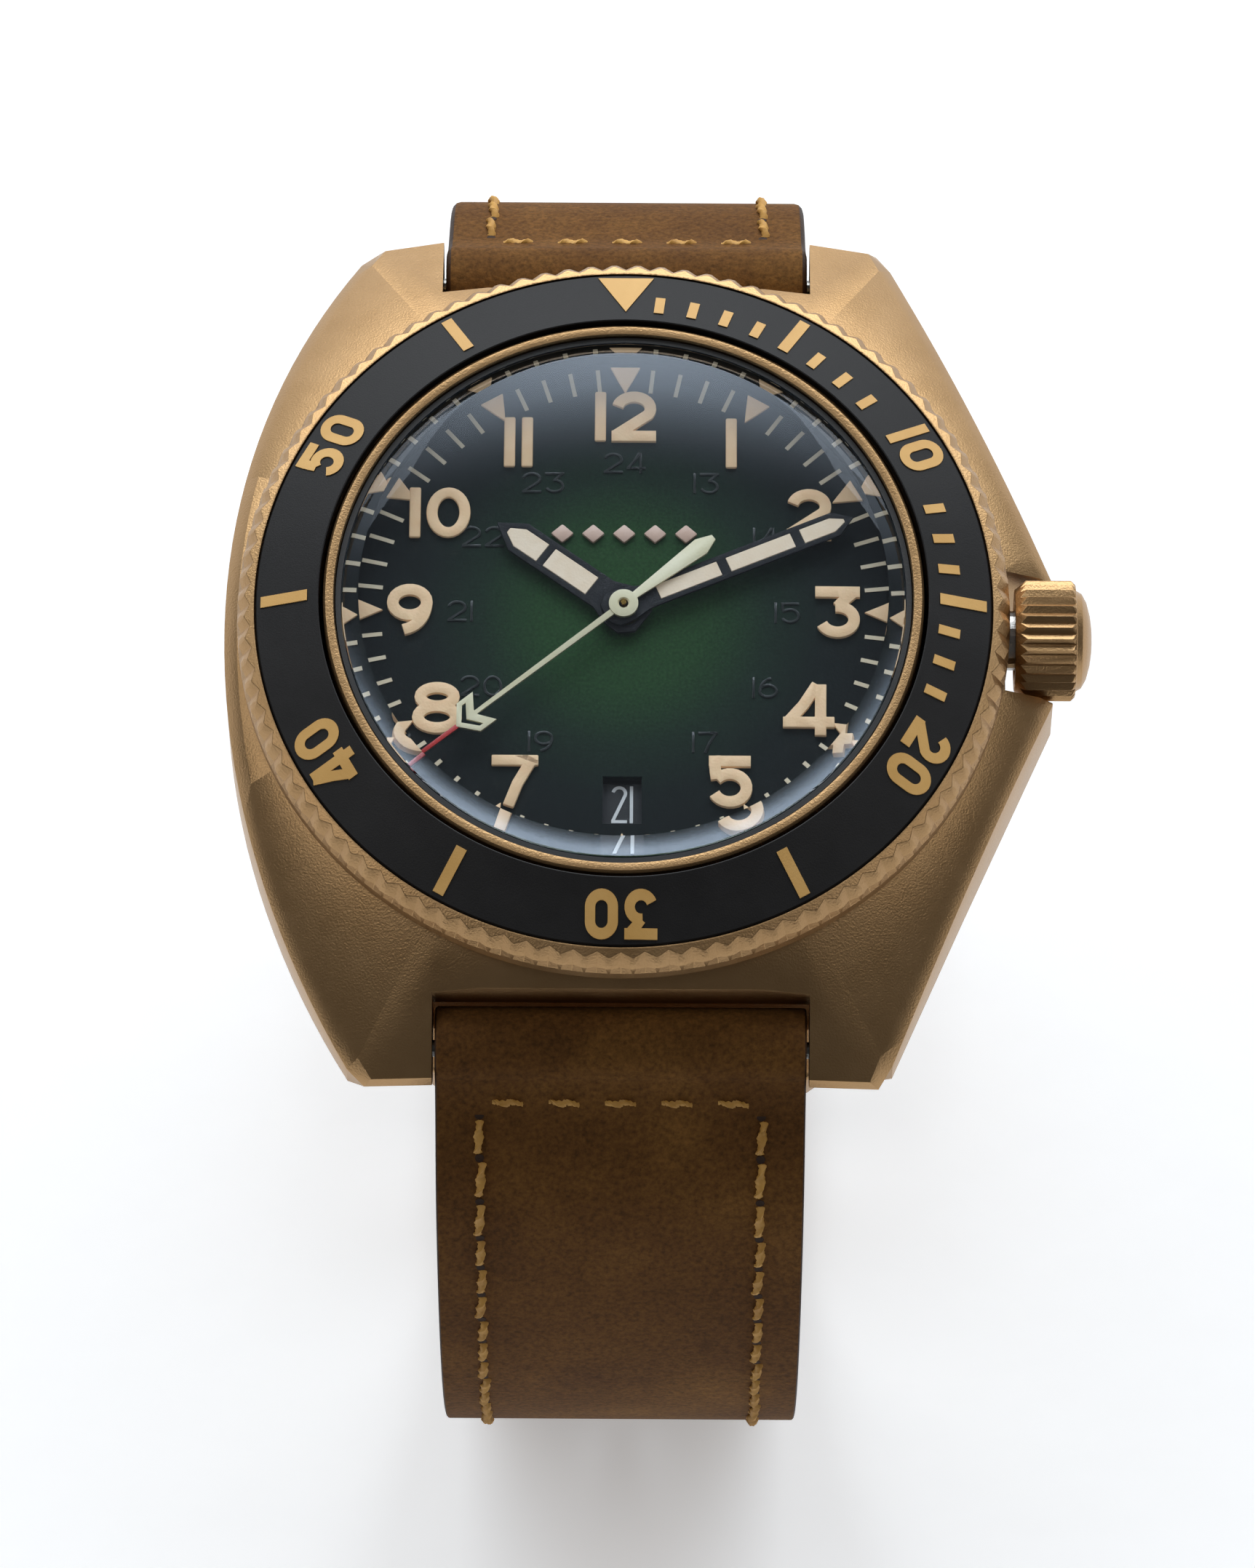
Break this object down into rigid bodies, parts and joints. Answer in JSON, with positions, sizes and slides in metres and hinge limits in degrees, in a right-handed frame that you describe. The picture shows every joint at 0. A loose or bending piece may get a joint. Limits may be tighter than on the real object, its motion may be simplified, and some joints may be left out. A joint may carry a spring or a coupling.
{
  "type": "dive watch",
  "caption": "Bronze dive watch with a rotating timing bezel, domed crystal, screw-down crown, automatic movement and a two-piece leather strap with a pin buckle.",
  "frame": {"origin": "centre of the case back's outer face", "axes": "+Z out of the dial through the crystal, +Y to 12 o'clock, +X to the crown at 3 o'clock"},
  "size_m": [0.0465, 0.0728, 0.0699],
  "materials": {
    "bronze": "bead-blasted satin bronze",
    "insert_black": "matte black ceramic-like insert with sand-coloured marks",
    "sapphire": "polished, faint blue reflection",
    "rubber_black": "smooth",
    "black_anodised": "satin black",
    "steel": "machined",
    "spring_steel": "blued",
    "dial_green": "grained lacquer, dark green fading to black",
    "date_black": "matte with pale numerals",
    "hand_cream": "cream lacquer",
    "brass": "gilt",
    "plate_rhodium": "rhodium plated, fine grain",
    "balance_gold": "polished",
    "holder_plastic": "moulded",
    "rotor_steel": "brushed",
    "leather_brown": "oiled nubuck, mottled, with gold thread"
  },
  "bodies": {
    "case": {"case_middle": "bronze", "caseback": "bronze", "caseback_gasket": "rubber_black", "crystal": "sapphire", "crystal_gasket": "rubber_black", "dial_ring": "black_anodised", "bezel_click_spring": "spring_steel", "bezel_retaining_wire": "spring_steel", "crown_tube": "steel", "dial": "dial_green", "movement_holder": "holder_plastic", "mainplate": "plate_rhodium", "train_bridge": "plate_rhodium", "balance_cock": "plate_rhodium", "casing_clamp_1": "steel", "casing_clamp_2": "steel", "casing_screw_1": "steel", "casing_screw_2": "steel", "rotor_screw": "steel", "hairspring": "spring_steel", "spring_bar_12": "steel", "spring_bar_6": "steel"},
    "bezel": {"bezel_ring": "bronze", "bezel_insert": "insert_black"},
    "winding": {"winding_pinion": "steel"},
    "crown": {"crown": "bronze", "crown_gasket": "rubber_black", "winding_stem": "steel"},
    "clutch": {"sliding_pinion": "steel"},
    "barrel": {"barrel": "brass", "mainspring": "spring_steel"},
    "barrel_arbor": {"barrel_arbor": "steel", "ratchet_wheel": "steel"},
    "centre": {"centre_wheel": "brass"},
    "third": {"third_wheel": "brass"},
    "seconds": {"fourth_wheel": "brass", "seconds_hand": "hand_cream"},
    "escape": {"escape_wheel": "steel"},
    "pallet": {"pallet_fork": "steel"},
    "balance": {"balance_wheel": "balance_gold"},
    "minutes": {"cannon_pinion": "steel", "minute_hand": "black_anodised"},
    "motion_work": {"minute_wheel": "brass"},
    "hours": {"hour_wheel": "brass", "hour_hand": "black_anodised"},
    "date": {"date_ring": "date_black"},
    "rotor": {"rotor": "rotor_steel"},
    "short_half": {"strap_short": "leather_brown", "fixed_keeper": "leather_brown", "buckle_bar": "steel"},
    "keeper": {"sliding_keeper": "leather_brown"},
    "buckle": {"buckle_frame": "bronze"},
    "tongue": {"buckle_tongue": "bronze"},
    "long_half": {"strap_long": "leather_brown"}
  },
  "joints": [
    {"name": "bezel_turn", "type": "hinge", "parent": "case", "child": "bezel", "pos_m": [0, 0, 0.0085], "axis": [0, 0, 1], "continuous": true},
    {"name": "crown_turn", "type": "hinge", "parent": "case", "child": "winding", "pos_m": [0.0118, 0, 0.0056], "axis": [1, 0, 0], "continuous": true},
    {"name": "crown_pull", "type": "slide", "parent": "winding", "child": "crown", "axis": [1, 0, 0], "range_m": [0, 0.0018]},
    {"name": "clutch_slide", "type": "slide", "parent": "winding", "child": "clutch", "axis": [1, 0, 0], "range_m": [-0.0006, 0]},
    {"name": "barrel_turn", "type": "hinge", "parent": "case", "child": "barrel", "pos_m": [-0.00471, 0.00395, 0.0045], "axis": [0, 0, -1], "continuous": true},
    {"name": "barrel_arbor_turn", "type": "hinge", "parent": "case", "child": "barrel_arbor", "pos_m": [-0.00471, 0.00395, 0.0045], "axis": [0, 0, -1], "continuous": true},
    {"name": "centre_turn", "type": "hinge", "parent": "case", "child": "centre", "pos_m": [0, 0, 0.0035], "axis": [0, 0, -1], "continuous": true},
    {"name": "third_turn", "type": "hinge", "parent": "case", "child": "third", "pos_m": [-0.0015, -0.00413, 0.0032], "axis": [0, 0, -1], "continuous": true},
    {"name": "seconds_turn", "type": "hinge", "parent": "case", "child": "seconds", "pos_m": [0, 0, 0.0029], "axis": [0, 0, -1], "continuous": true},
    {"name": "escape_turn", "type": "hinge", "parent": "case", "child": "escape", "pos_m": [0.00377, -0.00218, 0.0044], "axis": [0, 0, -1], "continuous": true},
    {"name": "pallet_rock", "type": "hinge", "parent": "case", "child": "pallet", "pos_m": [0.00377, -0.00495, 0.0044], "axis": [0, 0, -1], "range_deg": [-5, 5]},
    {"name": "balance_swing", "type": "hinge", "parent": "case", "child": "balance", "pos_m": [0.00377, -0.0075, 0.0039], "axis": [0, 0, -1], "range_deg": [-270, 270]},
    {"name": "minutes_turn", "type": "hinge", "parent": "case", "child": "minutes", "pos_m": [0, 0, 0.007], "axis": [0, 0, -1], "continuous": true},
    {"name": "motion_work_turn", "type": "hinge", "parent": "case", "child": "motion_work", "pos_m": [0.00286, 0.00286, 0.0067], "axis": [0, 0, -1], "continuous": true},
    {"name": "hours_turn", "type": "hinge", "parent": "case", "child": "hours", "pos_m": [0, 0, 0.007], "axis": [0, 0, -1], "continuous": true},
    {"name": "date_turn", "type": "hinge", "parent": "case", "child": "date", "pos_m": [0, 0, 0.0071], "axis": [0, 0, -1], "continuous": true},
    {"name": "rotor_turn", "type": "hinge", "parent": "case", "child": "rotor", "pos_m": [0, 0, 0.0016], "axis": [0, 0, 1], "continuous": true},
    {"name": "short_half_swing", "type": "hinge", "parent": "case", "child": "short_half", "pos_m": [0, 0.0225, 0.0024], "axis": [1, 0, 0], "range_deg": [-10, 2]},
    {"name": "keeper_slide", "type": "hinge", "parent": "short_half", "child": "keeper", "pos_m": [0, 0, -0.0179], "axis": [1, 0, 0], "range_deg": [-16, 22]},
    {"name": "buckle_swing", "type": "hinge", "parent": "short_half", "child": "buckle", "pos_m": [0, 0.00857, -0.04914], "axis": [1, 0, 0], "range_deg": [-45, 4]},
    {"name": "tongue_swing", "type": "hinge", "parent": "buckle", "child": "tongue", "pos_m": [0, 0.00857, -0.04914], "axis": [1, 0, 0], "range_deg": [0, 10]},
    {"name": "long_half_swing", "type": "hinge", "parent": "case", "child": "long_half", "pos_m": [0, -0.0225, 0.0024], "axis": [-1, 0, 0], "range_deg": [0, 60]}
  ],
  "couplings": [
    {"joint": "clutch_slide", "follows": "crown_pull", "ratio": -0.33333},
    {"joint": "barrel_arbor_turn", "follows": "crown_turn", "ratio": 0.33333},
    {"joint": "third_turn", "follows": "seconds_turn", "ratio": -0.13333},
    {"joint": "centre_turn", "follows": "seconds_turn", "ratio": 0.016667},
    {"joint": "barrel_turn", "follows": "seconds_turn", "ratio": -0.0027778},
    {"joint": "escape_turn", "follows": "seconds_turn", "ratio": -12},
    {"joint": "motion_work_turn", "follows": "minutes_turn", "ratio": -0.33333},
    {"joint": "hours_turn", "follows": "minutes_turn", "ratio": 0.083333}
  ]
}
